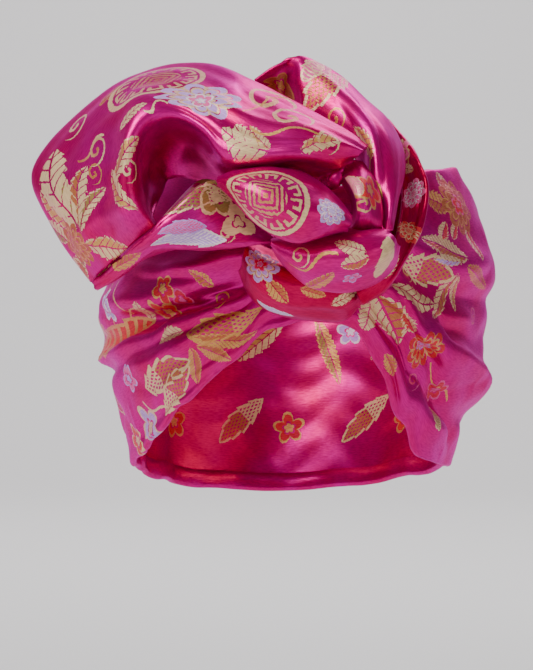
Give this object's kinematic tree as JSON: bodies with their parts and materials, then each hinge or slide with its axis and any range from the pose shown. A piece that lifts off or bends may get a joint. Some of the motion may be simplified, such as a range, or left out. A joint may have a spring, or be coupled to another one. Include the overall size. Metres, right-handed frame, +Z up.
{
  "type": "turban headwrap",
  "caption": "Soft brocade headwrap, open at the crown, with a band that dips at the nape and a large twisted rosette of rolled lobes and a pointed fold over the forehead.",
  "frame": {"origin": "middle of the head that the band goes round, at the height where the band is widest", "axes": "+Z up through the open crown; the rosette and the forehead face -Y; +X is to the right of a viewer who looks at the rosette"},
  "size_m": [0.1979, 0.2807, 0.1889],
  "materials": {
    "magenta_brocade": "magenta satin brocade woven with gold, copper, lilac and scarlet motifs",
    "crimson_brocade": "the same brocade where it shows its crimson side in the folds"
  },
  "bodies": {
    "root": {"head_band": "magenta_brocade", "knot_wrap": "crimson_brocade", "outer_swirl": "crimson_brocade", "peak_fold": "magenta_brocade", "inner_swirl": "magenta_brocade", "big_loop": "magenta_brocade", "loop_lip": "magenta_brocade", "bottom_roll": "magenta_brocade", "centre_roll": "magenta_brocade"}
  },
  "joints": []
}
